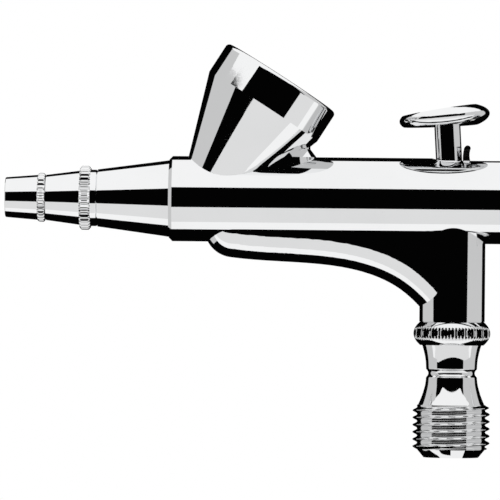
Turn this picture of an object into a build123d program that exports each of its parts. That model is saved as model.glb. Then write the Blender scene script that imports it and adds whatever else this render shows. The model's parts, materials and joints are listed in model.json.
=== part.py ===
from build123d import *
import math
import os

# Airbrush gun: double action, gravity feed, with a fixed side-leaning paint cup.
# Lengths are millimetres. +X runs from the spray tip to the handle, +Z is up.
# The origin is the centre of the hose thread's lower end face, on the air valve's axis.

# Axes
BODY_Z = 32.3  # height of the needle axis over the end of the hose thread

# Barrel
BARREL_R = 5.38
BARREL_FRONT = -35.8
BARREL_REAR = 22.0
BARREL_CHAMFER = 0.42
MECHANISM_BORE_R = 3.6  # rear bore, for the lever, the needle guide and the spring
MECHANISM_BORE_FRONT = -3.4
TRIGGER_SLOT_W = 3.7
TRIGGER_SLOT_FRONT = -2.75
TRIGGER_SLOT_REAR = 13.0
FLUID_BORE_R = 1.0
PACKING_BORE_R = 1.9
PACKING_BORE_FRONT = -12.0
REAR_BOSS_R = 4.4  # the handle screws on to this boss
REAR_BOSS_END = 26.0

# Nose, from the barrel forward
SPIGOT_R = 3.3
SPIGOT_REAR = -30.9
GASKET_T = 0.5
HEAD_FRONT = -45.7
HEAD_NECK_REAR = -44.9
HEAD_NECK_R = 3.56
HEAD_SMALL_R = 3.62
HEAD_LARGE_R = 4.84
CAP_THREAD_R = 2.9
CAP_THREAD_REAR = -43.8
NOZZLE_CAP_RING_FRONT = -47.1
NOZZLE_CAP_RING_R = 4.03
NOZZLE_CAP_REAR_R = 3.42
NOZZLE_CAP_FRONT_R = 2.85
NOZZLE_CAP_FRONT = -51.43
CAP_RING_FRONT = -52.4
CAP_RING_R = 3.1
TIP_REAR_R = 2.85
TIP_FRONT_R = 2.52
TIP_FRONT = -56.5
AIR_JET_R = 0.75
NOZZLE_TIP = -53.2
NOZZLE_TIP_BORE_R = 0.22

# Needle and the parts it carries
NEEDLE_R = 0.65
NEEDLE_TIP = -54.9
NEEDLE_TAPER_REAR = -46.0
NEEDLE_END = 60.0
GUIDE_FLANGE_R = 3.5
GUIDE_FLANGE_FRONT = 6.1
GUIDE_FLANGE_T = 1.5
GUIDE_TUBE_R = 1.6
GUIDE_END = 39.0
CHUCK_FRONT = 33.5
CHUCK_REAR = 43.5
CHUCK_R = 2.95
SPRING_CASE_FRONT = 12.5
SPRING_CASE_R = 3.52
SPRING_CASE_BORE_R = 3.0
SPRING_CASE_FLOOR = 24.0
SPRING_CASE_GRIP_FRONT = 26.3
SPRING_CASE_GRIP_R = 4.1
SPRING_CASE_END = 29.5

# Handle
HANDLE_GAP = 0.12
HANDLE_BORE_R = 4.45
HANDLE_BORE_END = 60.0
HANDLE_GRIP = (24.6, 29.4)
HANDLE_TAPER_START = 62.0
HANDLE_END = 93.0
HANDLE_TAIL_R = 1.9
WINDOW = (33.0, 55.0)
WINDOW_H = 6.6

# Paint cup
CUP_TILT = 32.5  # degrees from upright, mouth towards the handle
CUP_APEX = (-36.47, 24.55)  # X and Z of the point the outer cone would run to
CUP_HALF_ANGLE = 19.3
CUP_BAND_R = 8.12
CUP_BAND_START = 23.1  # distances along the cup's own axis, from the apex
CUP_RIM = 27.4
CUP_WALL = 0.7
CUP_FLOOR = 14.2
DRAIN_X = -28.2
DRAIN_R = 1.45

# Trigger
PIVOT_Z = 27.8
TRIGGER_LEAN = 3.3  # degrees forward of upright, at rest
STEM_R = 1.65
FOOT_R = 1.5
FOOT_L = 3.3
NEEDLE_SLOT_W = 1.6
BUTTON_R = 5.72
BUTTON_Z = 41.86  # middle of the button's underside
BUTTON_SHIFT = -0.3  # the button stands a little forward of its stem
BUTTON_TIP = -0.4  # degrees that the button leans beyond its stem

# Auxiliary lever behind the trigger
LEVER_PIN = (4.4, 30.2)
LEVER_PIN_R = 0.5
LEVER_PIN_SEAT = 4.3  # half length of the blind hole that holds the pin
LEVER_W = 3.1
LEVER_TOP = 39.3

# Air valve, from the barrel down
CASING_R = 4.12
CASING_END = 17.1
PISTON_BORE_R = 2.56
PISTON_BORE_END = 23.8
PISTON_HEAD_R = 2.5
PISTON_HEAD = (25.6, 27.5)
PISTON_ROD_R = 0.7
PISTON_ROD_END = 18.6
PACKING_SEAT_Z = 23.2
PACKING_R = 2.2
AIR_CHAMBER_R = 2.25
VALVE_SPIGOT_R = 3.3
VALVE_SPIGOT_TOP = 19.0
VALVE_RING = (14.13, 17.1)
VALVE_RING_R = 4.85
WAIST_R = 2.92
THREAD_R = 4.864  # G1/8 parallel pipe thread, major radius
THREAD_ROOT_R = 4.283
THREAD_TOP = 6.6
INLET_BORE_R = 2.3
VALVE_SEAT_Z = 16.5
VALVE_SEAT_R = 1.3
PLUNGER_TOP = 18.5
PLUNGER_STEM_R = 0.75
PLUNGER_DISC = (15.0, 15.9)
PLUNGER_DISC_R = 1.85
SPRING_SCREW = (6.8, 8.8)

os.makedirs("parts", exist_ok=True)


def keep(shape, node):
    """Write one sub-part, as a single solid, under its node name."""
    shape.label = node
    export_step(shape, os.path.join("parts", node + ".step"))


def turned(points, axis_z=BODY_Z):
    """Solid of revolution about the needle axis, from (x, radius) points."""
    outline = [(x, axis_z + r) for x, r in points]
    profile = Plane.XZ * Polyline(*outline, close=True)
    return revolve(make_face(profile), Axis((0, 0, axis_z), (1, 0, 0)))


def rod_x(start, end, radius):
    """Cylinder along the needle axis."""
    return turned([(start, 0), (start, radius), (end, radius), (end, 0)])


def upright(points):
    """Solid of revolution about the air valve's axis, from (radius, z) points."""
    return revolve(make_face(Plane.XZ * Polyline(*points, close=True)), Axis.Z)


def rod_z(bottom, top, radius):
    """Cylinder along the air valve's axis."""
    return upright([(0, bottom), (radius, bottom), (radius, top), (0, top)])


def ring_cutters_x(count, at_r, groove_r, start, end):
    """Round grooves that run along the needle axis, for a knurled ring."""
    cutters = []
    for i in range(count):
        angle = 2 * math.pi * i / count
        place = Location((start, at_r * math.sin(angle), BODY_Z + at_r * math.cos(angle)), (0, 90, 0))
        cutters.append(place * Cylinder(groove_r, end - start, align=(Align.CENTER, Align.CENTER, Align.MIN)))
    return cutters


def coil(radius, wire_r, length, turns):
    """Open compression spring from z = 0 upwards, wire radius inside both ends."""
    pitch = (length - 2 * wire_r) / turns
    path = Helix(pitch, length - 2 * wire_r, radius)
    path = Location((0, 0, wire_r)) * path
    section = Plane(origin=path @ 0, z_dir=path % 0) * Circle(wire_r)
    return sweep(section, path=path, is_frenet=True)


def cup_frame():
    """Plane whose origin is the cup's apex and whose z runs up the cup's axis."""
    lean = math.radians(CUP_TILT)
    axis = (math.sin(lean), 0, math.cos(lean))
    return Plane(origin=(CUP_APEX[0], 0, CUP_APEX[1]), x_dir=(math.cos(lean), 0, -math.sin(lean)), z_dir=axis)


def cup_turned(points):
    """Solid of revolution about the cup's axis, from (radius, distance) points."""
    profile = make_face(Plane.XZ * Polyline(*points, close=True))
    return cup_frame().location * revolve(profile, Axis.Z)


# ---------------------------------------------------------------- barrel
SLOPE = math.tan(math.radians(CUP_HALF_ANGLE))
CUP_INNER_SHIFT = CUP_WALL / math.sin(math.radians(CUP_HALF_ANGLE))
INNER_BAND_R = CUP_BAND_R - CUP_WALL
INNER_BAND_START = CUP_INNER_SHIFT + INNER_BAND_R / SLOPE
INNER_FLOOR_R = (CUP_FLOOR - CUP_INNER_SHIFT) * SLOPE

cup_hollow = cup_turned(
    [
        (0, CUP_FLOOR),
        (INNER_FLOOR_R, CUP_FLOOR),
        (INNER_BAND_R, INNER_BAND_START),
        (INNER_BAND_R, CUP_RIM + 1),
        (0, CUP_RIM + 1),
    ]
)
drain = Location((DRAIN_X, 0, BODY_Z)) * Cylinder(DRAIN_R, 6, align=(Align.CENTER, Align.CENTER, Align.MIN))

barrel_skin = turned(
    [
        (BARREL_FRONT, 0),
        (BARREL_FRONT, BARREL_R - BARREL_CHAMFER),
        (BARREL_FRONT + BARREL_CHAMFER, BARREL_R),
        (BARREL_REAR, BARREL_R),
        (BARREL_REAR, REAR_BOSS_R),
        (REAR_BOSS_END, REAR_BOSS_R),
        (REAR_BOSS_END, 0),
    ]
)
slot_length = TRIGGER_SLOT_REAR - TRIGGER_SLOT_FRONT
slot_middle = (TRIGGER_SLOT_REAR + TRIGGER_SLOT_FRONT) / 2
slot_plane = Plane(origin=(slot_middle, 0, BODY_Z), x_dir=(1, 0, 0), z_dir=(0, 0, 1))
trigger_slot = extrude(slot_plane * SlotOverall(slot_length, TRIGGER_SLOT_W), 8)

barrel = barrel_skin
barrel -= rod_x(BARREL_FRONT - 1, SPIGOT_REAR + GASKET_T, SPIGOT_R + 0.02)
barrel -= rod_x(SPIGOT_REAR, MECHANISM_BORE_FRONT, FLUID_BORE_R)
barrel -= rod_x(PACKING_BORE_FRONT, MECHANISM_BORE_FRONT, PACKING_BORE_R)
barrel -= rod_x(MECHANISM_BORE_FRONT, REAR_BOSS_END + 1, MECHANISM_BORE_R)
barrel -= trigger_slot
barrel -= rod_z(BODY_Z - 8, BODY_Z, PISTON_BORE_R)
barrel -= cup_hollow
barrel -= drain
barrel -= Location((LEVER_PIN[0], 0, LEVER_PIN[1]), (90, 0, 0)) * Cylinder(LEVER_PIN_R, 2 * LEVER_PIN_SEAT)

# ---------------------------------------------------------------- air valve casing and brace
barrel_round = rod_x(BARREL_FRONT + 1, REAR_BOSS_END + 1, BARREL_R)
casing = rod_z(CASING_END, BODY_Z, CASING_R)
casing -= barrel_round
casing -= rod_z(PISTON_BORE_END, BODY_Z, PISTON_BORE_R)
casing -= rod_z(CASING_END - 1, BODY_Z, PISTON_ROD_R + 0.3)
casing -= rod_z(CASING_END - 1, PACKING_SEAT_Z, AIR_CHAMBER_R)
casing -= rod_z(CASING_END - 1, VALVE_SPIGOT_TOP + 0.1, VALVE_SPIGOT_R + 0.03)

# The brace carries the air from the casing up to the nose. It is a thick web, flat on both sides,
# with a full-round lower edge and a ball-shaped front end.
BRACE_T = 7.5
BRACE_FRONT = (-27.6, 28.7)  # centre of the ball-shaped end
edge_centre = [
    BRACE_FRONT,
    (-19.0, 28.12),
    (-13.3, 27.55),
    (-7.71, 26.0),
    (-4.47, 24.25),
    (-2.82, 22.95),
    (-0.9, 21.0),
]
brace_route = Spline([(x, 0, z) for x, z in edge_centre])
edge_start = Plane(origin=brace_route @ 0, z_dir=brace_route % 0)
round_edge = sweep(edge_start * Circle(BRACE_T / 2), path=brace_route)
ball = Location((BRACE_FRONT[0], 0, BRACE_FRONT[1])) * Sphere(BRACE_T / 2)
web_top = BODY_Z - 1.0
web_outline = [
    Spline(edge_centre),
    Polyline(edge_centre[-1], (edge_centre[-1][0], web_top), (BRACE_FRONT[0], web_top), BRACE_FRONT),
]
web = extrude(Plane.XZ * make_face(web_outline), BRACE_T / 2, both=True)
brace = round_edge + web + ball
brace -= rod_x(BARREL_FRONT, REAR_BOSS_END, BARREL_R)
brace -= rod_z(CASING_END - 2, BODY_Z, CASING_R)
brace = max(brace.solids(), key=lambda solid: solid.volume)
airway_points = [(-32.5, 30.4), (-28.6, 28.0), (-19.0, 27.0), (-9.0, 25.3), (-4.6, 22.6), (-1.6, 20.2)]
airway_route = Spline([(x, 0, z) for x, z in airway_points])
AIRWAY_R = 0.85
airway = sweep(Plane(origin=airway_route @ 0, z_dir=airway_route % 0) * Circle(AIRWAY_R), path=airway_route)
brace -= airway
barrel -= airway - rod_x(BARREL_FRONT, BARREL_REAR, SPIGOT_R)
casing -= airway - rod_z(CASING_END, BODY_Z, AIR_CHAMBER_R - 0.2)
barrel = max(barrel.solids(), key=lambda solid: solid.volume)
casing = max(casing.solids(), key=lambda solid: solid.volume)
brace = max(brace.solids(), key=lambda solid: solid.volume)
keep(barrel, "body_barrel")
keep(casing, "valve_casing")
keep(brace, "air_passage_brace")

# ---------------------------------------------------------------- paint cup
LIP_ROUND = 0.5  # the rim curls over inwards
lip_start = CUP_RIM - LIP_ROUND
lip_diagonal = LIP_ROUND * (1 - math.sqrt(0.5))
cup_outline = [
    Polyline((0, 4.0), (4.0 * SLOPE, 4.0), (CUP_BAND_R, CUP_BAND_START), (CUP_BAND_R, lip_start)),
    ThreePointArc(
        (CUP_BAND_R, lip_start),
        (CUP_BAND_R - lip_diagonal, CUP_RIM - lip_diagonal),
        (CUP_BAND_R - LIP_ROUND, CUP_RIM),
    ),
    Polyline((CUP_BAND_R - LIP_ROUND, CUP_RIM), (0, CUP_RIM), (0, 4.0)),
]
cup = cup_frame().location * revolve(Plane.XZ * make_face(cup_outline), Axis.Z)
# Foot behind the cone, where the cup is brazed to the barrel
FOOT_X = -21.9
FOOT_LONG = 3.85
FOOT_WIDE = 2.7
FOOT_FLARE = 0.8
BARREL_TOP = BODY_Z + BARREL_R
foot_rings = [
    (BARREL_TOP - 1.6, FOOT_FLARE + 0.3),
    (BARREL_TOP - 0.05, FOOT_FLARE),
    (BARREL_TOP + 1.0, 0),
    (BARREL_TOP + 1.75, 0),
]
foot_sections = []
for z, more in foot_rings:
    foot_sections.append(Plane(origin=(FOOT_X, 0, z)) * Ellipse(FOOT_LONG + more, FOOT_WIDE + more))
cup_foot = loft(foot_sections, ruled=True)
cup += cup_foot
cup -= cup_hollow
cup -= rod_x(BARREL_FRONT + 0.6, BARREL_REAR, BARREL_R)
cup = max(cup.solids(), key=lambda solid: solid.volume)
keep(cup, "paint_cup")

# ---------------------------------------------------------------- nose
head = turned(
    [
        (HEAD_FRONT, 0),
        (HEAD_FRONT, HEAD_NECK_R),
        (HEAD_NECK_REAR - 0.1, HEAD_NECK_R),
        (HEAD_NECK_REAR, HEAD_NECK_R - 0.14),
        (HEAD_NECK_REAR + 0.08, HEAD_SMALL_R),
        (BARREL_FRONT, HEAD_LARGE_R),
        (BARREL_FRONT, SPIGOT_R),
        (SPIGOT_REAR - 2.2, SPIGOT_R),
        (SPIGOT_REAR - 2.2, SPIGOT_R - 0.8),
        (SPIGOT_REAR - 0.8, SPIGOT_R - 0.8),
        (SPIGOT_REAR - 0.8, SPIGOT_R),
        (SPIGOT_REAR, SPIGOT_R),
        (SPIGOT_REAR, 0),
    ]
)
NOZZLE_SEAT = -41.2
head -= rod_x(HEAD_FRONT - 1, CAP_THREAD_REAR, CAP_THREAD_R + 0.02)
head -= rod_x(HEAD_FRONT - 1, NOZZLE_SEAT, 1.27)
head -= rod_x(HEAD_FRONT - 1, SPIGOT_REAR + 1, FLUID_BORE_R)
air_ways = []
for i in range(4):
    angle = math.radians(45 + 90 * i)
    across = 2.1 * math.sin(angle)
    above = BODY_Z + 2.1 * math.cos(angle)
    place = Location((CAP_THREAD_REAR - 0.5, across, above), (0, 90, 0))
    way = Cylinder(0.42, SPIGOT_REAR - 1.5 - CAP_THREAD_REAR, align=(Align.CENTER, Align.CENTER, Align.MIN))
    air_ways.append(place * way)
head -= air_ways
keep(head, "head_base")

gasket = rod_x(SPIGOT_REAR, SPIGOT_REAR + GASKET_T, SPIGOT_R - 0.1) - rod_x(-40, -20, FLUID_BORE_R)
keep(gasket, "head_gasket")

NOZZLE_FLANGE = (-45.0, -44.2)
nozzle = turned(
    [
        (NOZZLE_TIP, NOZZLE_TIP_BORE_R),
        (NOZZLE_TIP, 0.5),
        (-49.0, 1.25),
        (NOZZLE_FLANGE[0], 1.25),
        (NOZZLE_FLANGE[0], 1.75),
        (NOZZLE_FLANGE[1], 1.75),
        (NOZZLE_FLANGE[1], 1.25),
        (NOZZLE_SEAT - 0.1, 1.25),
        (NOZZLE_SEAT - 0.1, 0.85),
        (NEEDLE_TAPER_REAR - 0.4, 0.85),
    ]
)
keep(nozzle, "fluid_nozzle")

nozzle_cap = turned(
    [
        (-53.0, AIR_JET_R),
        (-53.0, 1.15),
        (-52.6, 2.15),
        (NOZZLE_CAP_FRONT, 2.15),
        (NOZZLE_CAP_FRONT, NOZZLE_CAP_FRONT_R),
        (NOZZLE_CAP_RING_FRONT, NOZZLE_CAP_REAR_R),
        (NOZZLE_CAP_RING_FRONT, NOZZLE_CAP_RING_R - 0.25),
        (NOZZLE_CAP_RING_FRONT + 0.25, NOZZLE_CAP_RING_R),
        (HEAD_FRONT - 0.25, NOZZLE_CAP_RING_R),
        (HEAD_FRONT, NOZZLE_CAP_RING_R - 0.25),
        (HEAD_FRONT, CAP_THREAD_R),
        (CAP_THREAD_REAR - 0.1, CAP_THREAD_R),
        (CAP_THREAD_REAR - 0.1, 2.2),
        (-48.5, 2.2),
        (-52.6, AIR_JET_R),
    ]
)
nozzle_cap -= ring_cutters_x(36, NOZZLE_CAP_RING_R + 0.14, 0.28, NOZZLE_CAP_RING_FRONT, HEAD_FRONT)
keep(nozzle_cap, "nozzle_cap")

needle_cap = turned(
    [
        (TIP_FRONT, 1.95),
        (TIP_FRONT, TIP_FRONT_R),
        (CAP_RING_FRONT, TIP_REAR_R),
        (CAP_RING_FRONT, CAP_RING_R - 0.12),
        (CAP_RING_FRONT + 0.12, CAP_RING_R),
        (NOZZLE_CAP_FRONT - 0.17, CAP_RING_R),
        (NOZZLE_CAP_FRONT - 0.05, CAP_RING_R - 0.12),
        (NOZZLE_CAP_FRONT - 0.05, 2.17),
        (-53.3, 2.17),
        (-53.3, 1.7),
    ]
)
needle_cap -= ring_cutters_x(27, CAP_RING_R + 0.13, 0.28, CAP_RING_FRONT, NOZZLE_CAP_FRONT)
keep(needle_cap, "needle_cap")

# ---------------------------------------------------------------- needle and its packing
needle = turned(
    [
        (NEEDLE_TIP, 0),
        (NEEDLE_TIP, 0.04),
        (NOZZLE_TIP, NOZZLE_TIP_BORE_R - 0.04),
        (NEEDLE_TAPER_REAR, NEEDLE_R),
        (NEEDLE_END - 0.6, NEEDLE_R),
        (NEEDLE_END, NEEDLE_R - 0.3),
        (NEEDLE_END, 0),
    ]
)
keep(needle, "needle")

packing = rod_x(PACKING_BORE_FRONT, PACKING_BORE_FRONT + 1.6, PACKING_BORE_R - 0.02)
packing -= rod_x(-20, 0, NEEDLE_R + 0.03)
keep(packing, "needle_packing")

SCREW_FRONT = PACKING_BORE_FRONT + 1.65
SCREW_REAR = -6.2
packing_screw = rod_x(SCREW_FRONT, SCREW_REAR, PACKING_BORE_R - 0.02)
packing_screw -= rod_x(-20, 0, NEEDLE_R + 0.15)
packing_screw -= Location((SCREW_REAR, 0, BODY_Z)) * Box(1.6, 6, 0.6)
keep(max(packing_screw.solids(), key=lambda solid: solid.volume), "needle_packing_screw")

# ---------------------------------------------------------------- trigger
stem_frame = Location((0, 0, PIVOT_Z), (0, -TRIGGER_LEAN, 0))
STEM_TOP = BUTTON_Z - PIVOT_Z + 0.6
stem = upright(
    [
        (0, 0.6),
        (1.15, 0.6),
        (1.15, 1.0),
        (STEM_R, 2.0),
        (STEM_R, STEM_TOP),
        (0, STEM_TOP),
    ]
)
SLOT_LOW = 3.3
SLOT_HIGH = 8.2
needle_slot = Location((0, 0, (SLOT_LOW + SLOT_HIGH) / 2)) * (
    Rotation(0, 90, 0) * extrude(SlotOverall(SLOT_HIGH - SLOT_LOW, NEEDLE_SLOT_W), 4, both=True)
)
stem -= needle_slot
foot = Rotation(90, 0, 0) * Cylinder(FOOT_R, FOOT_L)
# The button is a round wedge that thickens to the rear, with a full-round rim. It is a flattened ball
# cut flat below and, at a steeper slope, above.
BUTTON_FRONT_T = 1.35
BUTTON_REAR_T = 2.75
BALL_H = 1.85  # half height of the flattened ball
middle_t = (BUTTON_FRONT_T + BUTTON_REAR_T) / 2
top_slope = (BUTTON_REAR_T - BUTTON_FRONT_T) / (2 * BUTTON_R)
reach = BUTTON_R + 1
wedge_outline = Polyline(
    (-reach, 0),
    (reach, 0),
    (reach, middle_t + reach * top_slope),
    (-reach, middle_t - reach * top_slope),
    close=True,
)
wedge = extrude(Plane.XZ * make_face(wedge_outline), reach, both=True)
flat_ball = scale(Sphere(1), by=(BUTTON_R, BUTTON_R, BALL_H))
mid_slope = math.degrees(math.atan(top_slope / 2))
button = wedge & (Location((0, 0, middle_t / 2), (0, -mid_slope, 0)) * flat_ball)
button = Location((BUTTON_SHIFT, 0, BUTTON_Z - PIVOT_Z), (0, -BUTTON_TIP, 0)) * button
trigger = stem_frame * (stem + foot + button)
keep(trigger, "trigger")

# ---------------------------------------------------------------- auxiliary lever
lean = math.tan(math.radians(TRIGGER_LEAN))
LEVER_GAP = 0.14  # between the back of the stem and the lever's tip, at rest


def lever_edge(z, offset):
    """Point beside the back of the leaning trigger stem, offset further back."""
    return (STEM_R + LEVER_GAP + offset - (z - PIVOT_Z) * lean, z)


pin_x, pin_z = LEVER_PIN
tip_z = LEVER_TOP - 0.37
lever_outline = [
    Spline((pin_x - 1.0, pin_z), (2.85, 32.0), (1.8, 35.0), lever_edge(37.3, 0.0), lever_edge(tip_z, 0.2)),
    ThreePointArc(lever_edge(tip_z, 0.2), lever_edge(LEVER_TOP, 0.59), lever_edge(tip_z, 0.98)),
    Spline(
        lever_edge(tip_z, 0.98),
        lever_edge(37.3, 0.85),
        (3.6, 35.4),
        (5.6, 34.5),
        (5.95, 33.4),
        (5.6, 31.6),
        (pin_x + 1.0, pin_z),
    ),
    ThreePointArc((pin_x + 1.0, pin_z), (pin_x, pin_z - 1.0), (pin_x - 1.0, pin_z)),
]
lever = extrude(Plane.XZ * make_face(lever_outline), LEVER_W / 2, both=True)
lever -= Location((pin_x, 0, pin_z), (90, 0, 0)) * Cylinder(LEVER_PIN_R + 0.05, 8)
lever -= Location((4, 0, 33.0)) * Box(8, NEEDLE_SLOT_W, 4.0)
keep(lever, "auxiliary_lever")

pin = Location((pin_x, 0, pin_z), (90, 0, 0)) * Cylinder(LEVER_PIN_R, 2 * (LEVER_PIN_SEAT - 0.05))
keep(pin, "lever_pin")

# ---------------------------------------------------------------- needle guide, spring and adjuster
guide = turned(
    [
        (GUIDE_FLANGE_FRONT, NEEDLE_R),
        (GUIDE_FLANGE_FRONT, GUIDE_FLANGE_R - 0.5),
        (GUIDE_FLANGE_FRONT + 0.4, GUIDE_FLANGE_R),
        (GUIDE_FLANGE_FRONT + GUIDE_FLANGE_T, GUIDE_FLANGE_R),
        (GUIDE_FLANGE_FRONT + GUIDE_FLANGE_T, GUIDE_TUBE_R),
        (GUIDE_END - 1.2, GUIDE_TUBE_R),
        (GUIDE_END, GUIDE_TUBE_R - 0.55),
        (GUIDE_END, NEEDLE_R),
    ]
)
guide -= Location((GUIDE_END, 0, BODY_Z)) * Box(12, 0.35, 6)
guide -= Location((GUIDE_END, 0, BODY_Z)) * Box(12, 6, 0.35)
keep(guide, "needle_chucking_guide")

CHUCK_SEAT = GUIDE_END + 0.05
chuck = turned(
    [
        (CHUCK_FRONT, GUIDE_TUBE_R + 0.02),
        (CHUCK_FRONT, CHUCK_R - 0.5),
        (CHUCK_FRONT + 0.5, CHUCK_R),
        (CHUCK_REAR - 1.0, CHUCK_R),
        (CHUCK_REAR, CHUCK_R - 0.9),
        (CHUCK_REAR, NEEDLE_R + 0.15),
        (CHUCK_SEAT, NEEDLE_R + 0.15),
        (CHUCK_SEAT, GUIDE_TUBE_R - 0.45),
        (GUIDE_END - 1.2, GUIDE_TUBE_R + 0.02),
    ]
)
chuck -= ring_cutters_x(24, CHUCK_R + 0.16, 0.3, CHUCK_FRONT + 1.2, CHUCK_REAR - 2.4)
keep(chuck, "chucking_nut")

spring_case = turned(
    [
        (SPRING_CASE_FRONT, SPRING_CASE_BORE_R),
        (SPRING_CASE_FRONT, SPRING_CASE_R),
        (SPRING_CASE_GRIP_FRONT, SPRING_CASE_R),
        (SPRING_CASE_GRIP_FRONT, SPRING_CASE_GRIP_R - 0.2),
        (SPRING_CASE_GRIP_FRONT + 0.2, SPRING_CASE_GRIP_R),
        (SPRING_CASE_END - 0.3, SPRING_CASE_GRIP_R),
        (SPRING_CASE_END, SPRING_CASE_GRIP_R - 0.3),
        (SPRING_CASE_END, GUIDE_TUBE_R + 0.08),
        (SPRING_CASE_FLOOR, GUIDE_TUBE_R + 0.08),
        (SPRING_CASE_FLOOR, SPRING_CASE_BORE_R),
    ]
)
spring_case -= ring_cutters_x(30, SPRING_CASE_GRIP_R + 0.15, 0.28, SPRING_CASE_GRIP_FRONT, SPRING_CASE_END)
keep(spring_case, "spring_case")

NEEDLE_SPRING_FRONT = GUIDE_FLANGE_FRONT + GUIDE_FLANGE_T + 0.03
needle_spring = coil(2.3, 0.28, SPRING_CASE_FLOOR - 0.03 - NEEDLE_SPRING_FRONT, 11)
needle_spring = Location((NEEDLE_SPRING_FRONT, 0, BODY_Z), (0, 90, 0)) * needle_spring
keep(needle_spring, "needle_spring")

# ---------------------------------------------------------------- handle
HANDLE_FRONT = BARREL_REAR + HANDLE_GAP
handle_outline = [
    Polyline(
        (HANDLE_FRONT, 0),
        (HANDLE_FRONT, BARREL_R - 0.25),
        (HANDLE_FRONT + 0.25, BARREL_R),
        (HANDLE_GRIP[0] - 0.5, BARREL_R),
        (HANDLE_GRIP[0] - 0.5, BARREL_R - 0.3),
        (HANDLE_GRIP[0], BARREL_R - 0.3),
        (HANDLE_GRIP[0], BARREL_R),
        (HANDLE_GRIP[1], BARREL_R),
        (HANDLE_GRIP[1], BARREL_R - 0.3),
        (HANDLE_GRIP[1] + 0.5, BARREL_R - 0.3),
        (HANDLE_GRIP[1] + 0.5, BARREL_R),
        (HANDLE_TAPER_START, BARREL_R),
    ),
    Spline(
        (HANDLE_TAPER_START, BARREL_R),
        (HANDLE_END - HANDLE_TAIL_R, HANDLE_TAIL_R),
        tangents=[(1, 0), (1, -0.06)],
    ),
    ThreePointArc(
        (HANDLE_END - HANDLE_TAIL_R, HANDLE_TAIL_R),
        (HANDLE_END - HANDLE_TAIL_R * (1 - math.sqrt(0.5)), HANDLE_TAIL_R * math.sqrt(0.5)),
        (HANDLE_END, 0),
    ),
    Line((HANDLE_END, 0), (HANDLE_FRONT, 0)),
]
handle_face = Plane.XZ * make_face(handle_outline)
handle = Location((0, 0, BODY_Z)) * revolve(handle_face, Axis.X)
handle -= rod_x(HANDLE_FRONT - 1, HANDLE_BORE_END, HANDLE_BORE_R)
handle -= rod_x(HANDLE_BORE_END - 0.1, HANDLE_BORE_END + 3.2, 1.6)
window_plane = Plane(origin=((WINDOW[0] + WINDOW[1]) / 2, 0, BODY_Z), x_dir=(1, 0, 0), z_dir=(0, -1, 0))
handle -= extrude(window_plane * SlotOverall(WINDOW[1] - WINDOW[0], WINDOW_H), 8, both=True)
handle -= ring_cutters_x(36, BARREL_R + 0.2, 0.33, HANDLE_GRIP[0], HANDLE_GRIP[1])
keep(handle, "handle")

# ---------------------------------------------------------------- air valve
piston = rod_z(PISTON_HEAD[0], PISTON_HEAD[1], PISTON_HEAD_R)
piston += rod_z(PISTON_ROD_END, PISTON_HEAD[0], PISTON_ROD_R)
piston -= Location((0, 0, PIVOT_Z)) * (Rotation(90, 0, 0) * Cylinder(FOOT_R + 0.05, 8))
keep(piston, "air_valve_piston")

piston_packing = rod_z(22.4, PACKING_SEAT_Z - 0.05, PACKING_R) - rod_z(15, 25, PISTON_ROD_R + 0.05)
keep(piston_packing, "piston_packing")
piston_screw = rod_z(21.4, 22.35, PACKING_R) - rod_z(15, 25, PISTON_ROD_R + 0.15)
piston_screw -= Location((0, 0, 21.4)) * Box(6, 0.6, 0.8)
keep(max(piston_screw.solids(), key=lambda solid: solid.volume), "piston_packing_screw")

RING_MIDDLE = (VALVE_RING[0] + VALVE_RING[1]) / 2
RING_SHOULDER = 0.85  # how far in the ring's round upper and lower edges start
valve_outline = [
    Polyline(
        (0, VALVE_SPIGOT_TOP),
        (VALVE_SPIGOT_R, VALVE_SPIGOT_TOP),
        (VALVE_SPIGOT_R, VALVE_RING[1]),
        (VALVE_RING_R - RING_SHOULDER, VALVE_RING[1]),
    ),
    ThreePointArc(
        (VALVE_RING_R - RING_SHOULDER, VALVE_RING[1]),
        (VALVE_RING_R, RING_MIDDLE),
        (VALVE_RING_R - RING_SHOULDER, VALVE_RING[0]),
    ),
    Line((VALVE_RING_R - RING_SHOULDER, VALVE_RING[0]), (3.72, VALVE_RING[0])),
    Spline((3.72, VALVE_RING[0]), (3.43, 13.0), (3.27, 12.3), (3.2, 11.1), tangents=[(-0.3, -1), (0, -1)]),
    ThreePointArc((3.2, 11.1), (WAIST_R, 10.6), (3.2, 10.1)),
    Spline(
        (3.2, 10.1),
        (3.31, 9.2),
        (3.59, 8.1),
        (3.86, 7.3),
        (4.18, THREAD_TOP),
        tangents=[(0, -1), (0.5, -1)],
    ),
    Polyline((4.18, THREAD_TOP), (THREAD_R, THREAD_TOP), (THREAD_R, 1.3), (4.3, 1.0), (3.4, 0), (0, 0)),
    Line((0, 0), (0, VALVE_SPIGOT_TOP)),
]
valve_body = revolve(Plane.XZ * make_face(valve_outline), Axis.Z)
valve_body -= rod_z(-1, VALVE_SEAT_Z, INLET_BORE_R)
valve_body -= rod_z(-1, VALVE_SPIGOT_TOP + 1, VALVE_SEAT_R)
grip_cuts = []
for i in range(72):
    angle = 2 * math.pi * i / 72
    at_r = VALVE_RING_R + 0.03
    cutter = Location((at_r * math.cos(angle), at_r * math.sin(angle), 14.72)) * Cylinder(
        0.16, 1.26, align=(Align.CENTER, Align.CENTER, Align.MIN)
    )
    grip_cuts.append(cutter)
valve_body -= grip_cuts
keep(valve_body, "air_valve_body")

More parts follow.
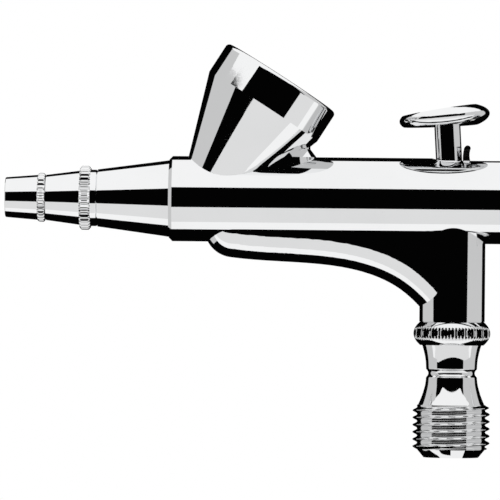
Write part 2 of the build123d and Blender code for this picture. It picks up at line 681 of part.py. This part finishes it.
plunger = upright(
    [
        (0, PLUNGER_TOP),
        (PLUNGER_STEM_R, PLUNGER_TOP),
        (PLUNGER_STEM_R, PLUNGER_DISC[1]),
        (PLUNGER_DISC_R, PLUNGER_DISC[1]),
        (PLUNGER_DISC_R, PLUNGER_DISC[0]),
        (PLUNGER_STEM_R, PLUNGER_DISC[0]),
        (PLUNGER_STEM_R, 12.4),
        (0, 12.4),
    ]
)
keep(plunger, "valve_plunger")
o_ring = Location((0, 0, PLUNGER_DISC[1] + 0.29)) * Torus(1.15 + 0.42, 0.28)
keep(o_ring, "valve_o_ring")

valve_spring = coil(1.45, 0.24, PLUNGER_DISC[0] - 0.03 - (SPRING_SCREW[1] + 0.03), 6)
valve_spring = Location((0, 0, SPRING_SCREW[1] + 0.03)) * valve_spring
keep(valve_spring, "valve_spring")

spring_screw = rod_z(SPRING_SCREW[0], SPRING_SCREW[1], INLET_BORE_R - 0.02) - rod_z(0, 12, 0.95)
spring_screw -= Location((0, 0, SPRING_SCREW[0])) * Box(6, 0.7, 1.2)
keep(max(spring_screw.solids(), key=lambda solid: solid.volume), "valve_spring_screw")
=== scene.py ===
import json
import math

import bmesh
import bpy
from mathutils import Matrix, Vector


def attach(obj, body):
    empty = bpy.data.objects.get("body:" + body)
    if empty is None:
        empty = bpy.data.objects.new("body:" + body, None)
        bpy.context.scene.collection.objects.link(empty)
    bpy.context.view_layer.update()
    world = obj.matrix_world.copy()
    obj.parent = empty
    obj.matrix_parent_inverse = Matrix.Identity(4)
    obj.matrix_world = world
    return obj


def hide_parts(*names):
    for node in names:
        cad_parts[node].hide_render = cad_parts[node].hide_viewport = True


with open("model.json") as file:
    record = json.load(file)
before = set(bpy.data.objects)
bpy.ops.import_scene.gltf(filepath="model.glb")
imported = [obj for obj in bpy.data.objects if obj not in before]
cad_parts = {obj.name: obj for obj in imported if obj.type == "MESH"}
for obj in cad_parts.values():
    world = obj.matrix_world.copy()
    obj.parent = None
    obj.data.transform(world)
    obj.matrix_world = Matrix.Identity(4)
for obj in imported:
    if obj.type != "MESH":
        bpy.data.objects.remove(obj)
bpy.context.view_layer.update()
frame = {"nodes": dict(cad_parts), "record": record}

MM = 0.001
BODY_Z = 32.3  # mm, height of the needle axis over the end of the hose thread

# ------------------------------------------------------------------ camera
VIEW_CENTRE = (-25.56, 25.9)  # mm, X and Z at the middle of the picture
VIEW_WIDTH = 63.1  # mm of the object across the picture
SENSOR_WIDTH = 36.0  # mm
CAMERA_DISTANCE = 0.60  # m
CAMERA_EAST = 12.0  # mm that the eye stands to the right of the picture's middle
CAMERA_RISE = -6.0  # mm that the eye stands over it
CAMERA_ROLL = 0.55  # degrees, so that the barrel falls a little to the right
NEAREST = 0.01  # m, what the camera can see
FARTHEST = 10.0


def add_camera():
    """Long lens, square on to the side of the gun."""
    data = bpy.data.cameras.new("camera")
    data.sensor_width = SENSOR_WIDTH
    data.lens = data.sensor_width * CAMERA_DISTANCE / (VIEW_WIDTH * MM)
    data.clip_start = NEAREST
    data.clip_end = FARTHEST
    cam = bpy.data.objects.new("camera", data)
    bpy.context.scene.collection.objects.link(cam)
    target = Vector((VIEW_CENTRE[0] * MM, 0.0, VIEW_CENTRE[1] * MM))
    cam.location = target + Vector((CAMERA_EAST * MM, -CAMERA_DISTANCE, CAMERA_RISE * MM))
    look = target - cam.location
    aim = look.to_track_quat("-Z", "Y").to_matrix().to_4x4()
    roll = Matrix.Rotation(math.radians(CAMERA_ROLL), 4, "Z")
    cam.matrix_world = Matrix.Translation(cam.location) @ aim @ roll
    bpy.context.scene.camera = cam


add_camera()


# ------------------------------------------------------------------ materials
NODE_SPACING = 180  # between the nodes of a material, in the node editor

# Chrome plate. Noise scales are in cycles per metre of the object.
SMEAR_SCALE = 95.0  # handling smears, which tint the plate
SMEAR_TINT = 0.965
RUB_SCALE = 420.0  # rubbed patches, which dull it
POLISH_SCALE = 2600.0  # marks of the polishing wheel
POLISH_BUMP = 0.03
LATHE_SCALE = {"x": (9000.0, 60.0, 60.0), "z": (60.0, 60.0, 9000.0)}  # rings across each axis
LATHE_BUMP = 0.06
CHROME_RELIEF = 0.00001  # m

# Satin metal
GRAIN_BUMP = 0.15
GRAIN_RELIEF = 0.00002  # m
GRAIN_DULLING = 0.12  # added to the roughness along the grain

# Plastic and rubber
CLOUD_SCALE = 300.0
GRIT_SCALE = 4000.0
GRIT_BUMP = 0.1
GRIT_RELIEF = 0.00003  # m


class Nodes:
    """Small helper for building one material's node tree."""

    def __init__(self, name):
        self.mat = bpy.data.materials.new(name)
        self.mat.use_nodes = True
        self.tree = self.mat.node_tree
        self.bsdf = self.tree.nodes["Principled BSDF"]
        self.x = -300

    def new(self, kind, **values):
        node = self.tree.nodes.new(kind)
        node.location = (self.x, 0)
        self.x -= NODE_SPACING
        for key, value in values.items():
            setattr(node, key, value)
        return node

    def link(self, out, into):
        self.tree.links.new(out, into)

    def coords(self, scale):
        where = self.new("ShaderNodeTexCoord")
        mapping = self.new("ShaderNodeMapping")
        mapping.inputs["Scale"].default_value = scale
        self.link(where.outputs["Object"], mapping.inputs["Vector"])
        return mapping.outputs["Vector"]

    def noise(self, scale, detail=4.0, rough=0.5, stretch=(1.0, 1.0, 1.0)):
        node = self.new("ShaderNodeTexNoise")
        node.inputs["Scale"].default_value = scale
        node.inputs["Detail"].default_value = detail
        node.inputs["Roughness"].default_value = rough
        self.link(self.coords(stretch), node.inputs["Vector"])
        return node.outputs["Fac"]

    def ramp(self, fac, low, high, start=0.3, end=0.7):
        """low where fac is under start, high where it is over end."""
        node = self.new("ShaderNodeMapRange")
        node.inputs["From Min"].default_value = start
        node.inputs["From Max"].default_value = end
        node.inputs["To Min"].default_value = low
        node.inputs["To Max"].default_value = high
        self.link(fac, node.inputs["Value"])
        return node.outputs["Result"]

    def mix(self, fac, a, b):
        node = self.new("ShaderNodeMix", data_type="RGBA")
        node.inputs["A"].default_value = (*a, 1.0)
        node.inputs["B"].default_value = (*b, 1.0)
        self.link(fac, node.inputs["Factor"])
        return node.outputs["Result"]

    def bump(self, height, strength, distance):
        node = self.new("ShaderNodeBump")
        node.inputs["Strength"].default_value = strength
        node.inputs["Distance"].default_value = distance
        self.link(height, node.inputs["Height"])
        self.link(node.outputs["Normal"], self.bsdf.inputs["Normal"])


def chrome(name, colour=(0.90, 0.905, 0.91), rough=0.025, smear=0.03, turned=None):
    """Mirror chrome plate: faint handling smears in the gloss, fine polish marks and, on turned
    pieces, rings left by the lathe across the axis named by turned."""
    m = Nodes(name)
    m.bsdf.inputs["Metallic"].default_value = 1.0
    film = m.noise(SMEAR_SCALE, detail=5.0, rough=0.6)
    shade = m.ramp(film, 0.0, 1.0, 0.35, 0.75)
    warm = tuple(c * SMEAR_TINT for c in colour)
    m.link(m.mix(shade, colour, warm), m.bsdf.inputs["Base Color"])
    rub = m.noise(RUB_SCALE, detail=6.0, rough=0.65)
    m.link(m.ramp(rub, rough, rough + smear, 0.45, 0.8), m.bsdf.inputs["Roughness"])
    if turned:
        rings = m.noise(1.0, detail=2.0, rough=0.5, stretch=LATHE_SCALE[turned])
        m.bump(rings, LATHE_BUMP, CHROME_RELIEF)
    else:
        polish = m.noise(POLISH_SCALE, detail=3.0, rough=0.5)
        m.bump(polish, POLISH_BUMP, CHROME_RELIEF)
    return m.mat


def steel(name, colour, rough, stretch, wear=0.12):
    """Satin metal with a drawn grain along one way."""
    m = Nodes(name)
    m.bsdf.inputs["Metallic"].default_value = 1.0
    grain = m.noise(1.0, detail=4.0, rough=0.6, stretch=stretch)
    dull = tuple(c * (1.0 - wear) for c in colour)
    m.link(m.mix(m.ramp(grain, 0.0, 1.0), colour, dull), m.bsdf.inputs["Base Color"])
    m.link(m.ramp(grain, rough, rough + GRAIN_DULLING), m.bsdf.inputs["Roughness"])
    m.bump(grain, GRAIN_BUMP, GRAIN_RELIEF)
    return m.mat


def soft(name, colour, rough):
    """Waxy plastic or rubber: a fine mould texture and slightly uneven colour."""
    m = Nodes(name)
    cloud = m.noise(CLOUD_SCALE, detail=4.0, rough=0.6)
    other = tuple(min(1.0, c * 0.88 + 0.004) for c in colour)
    m.link(m.mix(m.ramp(cloud, 0.0, 1.0), colour, other), m.bsdf.inputs["Base Color"])
    m.link(m.ramp(cloud, rough - 0.06, rough + 0.08), m.bsdf.inputs["Roughness"])
    grit = m.noise(GRIT_SCALE, detail=2.0)
    m.bump(grit, GRIT_BUMP, GRIT_RELIEF)
    return m.mat


MATERIALS = {
    "chrome_body": chrome("chrome_body"),
    "chrome_cup": chrome("chrome_cup", rough=0.02),
    "chrome_nose": chrome("chrome_nose", turned="x"),
    "chrome_handle": chrome("chrome_handle"),
    "chrome_trigger": chrome("chrome_trigger"),
    "chrome_valve": chrome("chrome_valve", colour=(0.87, 0.875, 0.88), turned="z"),
    "chrome_nut": chrome("chrome_nut", turned="x"),
    "chrome_adjuster": chrome("chrome_adjuster", colour=(0.86, 0.865, 0.87), turned="x"),
    "lever_steel": steel("lever_steel", (0.80, 0.80, 0.81), 0.09, (300.0, 300.0, 4000.0), 0.08),
    "brass": steel("brass", (0.80, 0.58, 0.26), 0.18, (400.0, 400.0, 5000.0)),
    "ptfe": soft("ptfe", (0.86, 0.86, 0.83), 0.42),
    "black_rubber": soft("black_rubber", (0.02, 0.02, 0.021), 0.5),
    "needle_steel": steel("needle_steel", (0.74, 0.745, 0.75), 0.10, (80.0, 6000.0, 6000.0), 0.05),
    "nickel_brass": steel("nickel_brass", (0.70, 0.69, 0.66), 0.14, (6000.0, 200.0, 200.0), 0.08),
    "nozzle_alloy": steel("nozzle_alloy", (0.66, 0.64, 0.60), 0.16, (6000.0, 200.0, 200.0), 0.08),
    "spring_steel": steel("spring_steel", (0.45, 0.45, 0.46), 0.2, (900.0, 900.0, 900.0)),
}

SLOT_OF = {entry["node"]: entry["material_slot"] for entry in frame["record"]["subparts"]}

BODY_OF = {}
for body, nodes in frame["record"]["behaviour"]["bodies"].items():
    for node in nodes:
        BODY_OF[node] = body


def paint(obj, material):
    """Give every material slot of an object the one material."""
    if not obj.material_slots:
        obj.data.materials.append(material)
    for place in obj.material_slots:
        place.material = material


for node, obj in frame["nodes"].items():
    paint(obj, MATERIALS[SLOT_OF[node]])


# ------------------------------------------------------------------ turned pieces
SHARP = math.radians(32.0)  # faces that meet at more than this keep a crisp edge


def arc(start, middle, end, count):
    """Points of a smooth bow through three (along, radius) points."""
    points = []
    for i in range(count + 1):
        t = i / count
        a, b, c = 2 * (t - 0.5) * (t - 1.0), 4 * t * (1.0 - t), 2 * t * (t - 0.5)
        points.append(tuple(a * p + b * q + c * r for p, q, r in zip(start, middle, end)))
    return points


def between(a, b, c, d, t):
    """Smooth curve from b, at t = 0, to c, at t = 1, on its way from a to d."""
    return 0.5 * (2 * b + (c - a) * t + (2 * a - 5 * b + 4 * c - d) * t**2 + (3 * b - a - 3 * c + d) * t**3)


def bow(points, count):
    """Smooth curve through all the (along, radius) points, count steps between two of them."""
    ends = [tuple(2 * a - b for a, b in zip(points[0], points[1]))]
    ends += points + [tuple(2 * a - b for a, b in zip(points[-1], points[-2]))]
    curve = []
    for i in range(1, len(ends) - 2):
        for j in range(count):
            curve.append(tuple(between(*values, j / count) for values in zip(*ends[i - 1 : i + 3])))
    return curve + [points[-1]]


def turn(name, node, loop, segments, upright=False, shape=None, crisp=()):
    """Closed solid turned on a lathe. loop is its section, (distance along the axis, radius) in mm,
    and shape(distance, radius, angle) cuts ridges or a thread into it. The faces after each loop
    point numbered in crisp are shaded flat. It replaces the CAD node."""
    verts = []
    for distance, radius in loop:
        for j in range(segments):
            angle = 2 * math.pi * j / segments
            r = shape(distance, radius, angle) if shape else radius
            if upright:
                verts.append((r * math.cos(angle) * MM, r * math.sin(angle) * MM, distance * MM))
            else:
                verts.append((distance * MM, r * math.sin(angle) * MM, (BODY_Z + r * math.cos(angle)) * MM))
    faces = []
    rings = len(loop)
    for i in range(rings):
        k = (i + 1) % rings
        for j in range(segments):
            m = (j + 1) % segments
            faces.append((i * segments + j, i * segments + m, k * segments + m, k * segments + j))
    mesh = bpy.data.meshes.new(name)
    mesh.from_pydata(verts, [], faces)
    bm = bmesh.new()
    bm.from_mesh(mesh)
    bmesh.ops.recalc_face_normals(bm, faces=bm.faces)
    bm.to_mesh(mesh)
    bm.free()
    mesh.shade_smooth()
    for i in crisp:
        for face in mesh.polygons[i * segments : (i + 1) * segments]:
            face.use_smooth = False
    mesh.set_sharp_from_angle(angle=SHARP)
    piece = bpy.data.objects.new(name, mesh)
    bpy.context.scene.collection.objects.link(piece)
    paint(piece, MATERIALS[SLOT_OF[node]])
    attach(piece, BODY_OF[node])
    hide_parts(node)
    return piece


def steps(start, end, count):
    """Evenly spaced numbers from start to end, both included."""
    return [start + (end - start) * i / count for i in range(count + 1)]


KNURL_POWER = 1.4  # over 1 makes the ridges broader than the grooves


def knurl(count, depth, start, end, lead):
    """Round ridges that run along the axis between start and end and die out over lead at both."""

    def shape(distance, radius, angle):
        inside = min(distance - start, end - distance) / lead
        if inside <= 0:
            return radius
        wave = 0.5 - 0.5 * math.cos(count * angle)
        return radius - depth * min(1.0, inside) * wave**KNURL_POWER

    return shape


# Air valve body: hose thread below, waisted neck, knurled ring and a spigot into the casing.
# Heights and radii in mm.
THREAD_CREST = 4.864  # G1/8
THREAD_ROOT = 4.283
THREAD_PITCH = 0.907
THREAD_LOW = 1.0
THREAD_HIGH = 6.6
THREAD_RUN_OUT = 0.35  # height over which the top of the thread fades
THREAD_START = 0.15  # height of the ridge where the bottom of the thread begins
THREAD_RISE = 1.2  # ridge height gained for each mm above that
THREAD_SHARPNESS = 1.15  # over 1 makes the crests narrower than the grooves
THREAD_RINGS = 104  # rings of points along the thread
RING_BOTTOM = 14.0  # below this is neck and thread
RING_RIM = 4.3  # the ring's ridges are cut only outside this radius
RING_KNURL = knurl(70, 0.3, 14.85, 16.4, 0.45)
VALVE_SEGMENTS = 304


def valve_shape(distance, radius, angle):
    """Knurl on the upper ring and the right-hand thread below."""
    if distance > RING_BOTTOM:
        return RING_KNURL(distance, radius, angle) if radius > RING_RIM else radius
    if radius < THREAD_CREST - 0.001 or not THREAD_LOW < distance < THREAD_HIGH:
        return radius
    turn_at = distance / THREAD_PITCH - angle / (2 * math.pi)
    crest = (0.5 + 0.5 * math.cos(2 * math.pi * turn_at)) ** THREAD_SHARPNESS
    run_out = min(1.0, (THREAD_HIGH - distance) / THREAD_RUN_OUT)
    r = THREAD_ROOT + (THREAD_CREST - THREAD_ROOT) * crest * run_out
    return min(r, THREAD_ROOT + THREAD_START + (distance - THREAD_LOW) * THREAD_RISE)


CHAMFER_TOP = (1.0, 4.28)  # under the thread

valve_loop = [(19.0, 1.3), (19.0, 3.3), (17.1, 3.3), (17.1, 3.95)]  # spigot
valve_loop += arc((17.1, 4.0), (15.615, 4.85), (14.13, 4.0), 22)  # knurled ring
valve_loop += bow([(14.13, 3.72), (13.2, 3.46), (12.2, 3.27), (11.12, 3.2)], 10)  # neck
valve_loop += arc((11.1, 3.19), (10.6, 2.92), (10.1, 3.19), 12)  # groove round the neck
valve_loop += bow([(10.08, 3.2), (9.2, 3.3), (8.1, 3.59), (7.3, 3.88), (6.65, 4.16)], 10)
valve_loop += [(6.6, 4.18), (6.6, THREAD_ROOT)]
valve_loop += [(z, THREAD_CREST) for z in steps(6.58, 1.02, THREAD_RINGS)]
valve_loop += [CHAMFER_TOP, (0.0, 3.45), (0.0, 2.3)]
valve_loop += [(16.5, 2.3), (16.5, 1.3)]  # bore
chamfer = valve_loop.index(CHAMFER_TOP)
turn(
    "valve_housing",
    "air_valve_body",
    valve_loop,
    VALVE_SEGMENTS,
    True,
    valve_shape,
    crisp=(chamfer - 1, chamfer),
)

# Nozzle cap and needle cap, with round-ridged rings. Distances along the barrel and radii in mm.
NOZZLE_RIDGES = 36
NOZZLE_RING_R = 4.03
NOZZLE_KNURL = knurl(NOZZLE_RIDGES, 0.24, -47.12, -45.68, 0.16)
NEEDLE_CAP_RIDGES = 27
NEEDLE_CAP_RING_R = 3.1
NEEDLE_CAP_KNURL = knurl(NEEDLE_CAP_RIDGES, 0.2, -52.42, -51.46, 0.14)

nozzle_loop = [(-53.0, 0.75), (-53.0, 1.15), (-52.6, 2.15), (-51.43, 2.15), (-51.43, 2.7), (-51.36, 2.86)]
nozzle_loop += [(-47.13, 3.42), (-47.1, 3.6), (-47.1, 3.7)]  # cone
nozzle_loop += arc((-47.08, 3.78), (-46.4, 4.2), (-45.72, 3.78), 16)  # ring
nozzle_loop += [(-45.7, 3.7), (-45.7, 2.9), (-43.9, 2.9), (-43.9, 2.2), (-48.5, 2.2), (-52.6, 0.75)]
nozzle_loop = [(x, min(r, NOZZLE_RING_R)) for x, r in nozzle_loop]
turn("nozzle_cap_turned", "nozzle_cap", nozzle_loop, NOZZLE_RIDGES * 8, shape=NOZZLE_KNURL)

tip_loop = [(-56.5, 1.95), (-56.5, 2.44), (-56.42, 2.52), (-52.43, 2.84), (-52.4, 2.9)]  # mouth
tip_loop += arc((-52.38, 2.94), (-51.93, 3.16), (-51.5, 2.94), 12)  # ring
tip_loop += [(-51.48, 2.9), (-51.48, 2.17), (-53.3, 2.17), (-53.3, 1.7)]  # bore
tip_loop = [(x, min(r, NEEDLE_CAP_RING_R)) for x, r in tip_loop]
turn("needle_cap_turned", "needle_cap", tip_loop, NEEDLE_CAP_RIDGES * 9, shape=NEEDLE_CAP_KNURL)


# ------------------------------------------------------------------ stage
SOFT_BOX_LENGTH = 1.14  # m along the barrel
SOFT_BOX_HEIGHT = 0.40  # m over the barrel
UNDER_DEPTH = -0.20  # m, the height of the two long cards below the barrel
UNDER_LENGTH = 2.0
SIDE_DISTANCE = 0.64  # m from the air valve to the upright cards
SIDE_LOW = -0.45
SIDE_HIGH = 0.55
SIDE_GLOW = 0.62
FLOOR_Z = -0.02
FLOOR_SIZE = 0.56
CORNER_STEPS = 8  # pieces of each rounded corner
DARK = 0.001  # what the pieces reflect where there is no card


def rounded(corners, radius):
    """Outline of a flat quadrilateral with its corners rounded off."""
    outline = []
    for i, corner in enumerate(corners):
        here = Vector(corner)
        before = (Vector(corners[i - 1]) - here).normalized() * radius
        after = (Vector(corners[(i + 1) % len(corners)]) - here).normalized() * radius
        for j in range(CORNER_STEPS + 1):
            t = j / CORNER_STEPS
            point = here + before * (1 - t) ** 2 + after * t**2
            outline.append((point.x, point.y, 0.0))
    return outline


def card(name, centre, size, tilt, strength, visible=False, radius=0.02, skew=0.0, clip=None):
    """Flat glowing card, turned by tilt in degrees. skew brings its -X front corner nearer to the
    camera, and clip cuts its -X back corner off."""
    mesh = bpy.data.meshes.new(name)
    w, h = size[0] / 2, size[1] / 2
    corners = [(-w, -h - skew), (w, -h), (w, h), (-w, h)]
    if clip:
        corners[3:] = [(clip[0] - w, h), (-w, h - clip[1])]
    outline = rounded(corners, radius)
    mesh.from_pydata(outline, [], [range(len(outline))])
    obj = bpy.data.objects.new(name, mesh)
    bpy.context.scene.collection.objects.link(obj)
    obj.rotation_euler = [math.radians(a) for a in tilt]
    obj.location = centre
    mat = bpy.data.materials.new(name)
    mat.use_nodes = True
    nodes = mat.node_tree.nodes
    nodes.clear()
    out = nodes.new("ShaderNodeOutputMaterial")
    glow = nodes.new("ShaderNodeEmission")
    glow.inputs["Color"].default_value = (1.0, 1.0, 1.0, 1.0)
    glow.inputs["Strength"].default_value = strength
    mat.node_tree.links.new(glow.outputs["Emission"], out.inputs["Surface"])
    mesh.materials.append(mat)
    obj.visible_camera = visible
    obj.visible_shadow = False
    return obj


def by_axis(distance, start, end, length, name, strength, **shape):
    """Card parallel with the barrel, over it if distance > 0 and under it if < 0. start and end are
    how far round its edges stand as seen from the barrel: 0 is towards the camera, 90 straight up."""
    ys = [-distance / math.tan(math.radians(a)) for a in (start, end)]
    centre = (VIEW_CENTRE[0] * MM, sum(ys) / 2, BODY_Z * MM + distance)
    return card(name, centre, (length, abs(ys[1] - ys[0])), (0, 0, 0), strength, **shape)


def at_side(name, start, end):
    """Upright card beside the gun. start and end are its edges as seen from the air valve, in degrees
    from the camera's direction, towards +X."""
    x = math.copysign(SIDE_DISTANCE, start + end)
    ys = [-x / math.tan(math.radians(a)) for a in (start, end)]
    centre = (x, sum(ys) / 2, (SIDE_LOW + SIDE_HIGH) / 2)
    return card(name, centre, (SIDE_HIGH - SIDE_LOW, abs(ys[1] - ys[0])), (0, 90, 0), SIDE_GLOW)


by_axis(
    SOFT_BOX_HEIGHT,
    30.0,
    129.0,
    SOFT_BOX_LENGTH,
    "soft_box_top",
    1.0,
    radius=0.05,
    clip=(0.10, 0.28),
)
by_axis(UNDER_DEPTH, -27.5, -66.0, UNDER_LENGTH, "card_low_front", 0.80, skew=0.14)
by_axis(UNDER_DEPTH, -66.0, -91.0, UNDER_LENGTH, "card_under", 1.0)
at_side("card_left", -71.0, -127.0)
at_side("card_right", 53.0, 127.0)

# Pale floor below the gun, out of the main picture
floor = card("floor", (0.0, 0.0, FLOOR_Z), (FLOOR_SIZE, FLOOR_SIZE), (0, 0, 0), 1.0, visible=True)
floor.visible_glossy = False

# White to the camera and dark in reflections
world = bpy.data.worlds.new("studio")
bpy.context.scene.world = world
world.use_nodes = True
sky = world.node_tree
backdrop = sky.nodes["Background"]
backdrop.inputs["Color"].default_value = (1.0, 1.0, 1.0, 1.0)
dark = sky.nodes.new("ShaderNodeBackground")
dark.inputs["Color"].default_value = (DARK, DARK, DARK, 1.0)
ray = sky.nodes.new("ShaderNodeLightPath")
pick = sky.nodes.new("ShaderNodeMixShader")
sky.links.new(ray.outputs["Is Camera Ray"], pick.inputs["Fac"])
sky.links.new(dark.outputs["Background"], pick.inputs[1])
sky.links.new(backdrop.outputs["Background"], pick.inputs[2])
sky.links.new(pick.outputs["Shader"], sky.nodes["World Output"].inputs["Surface"])

bpy.context.scene.view_settings.view_transform = "Standard"
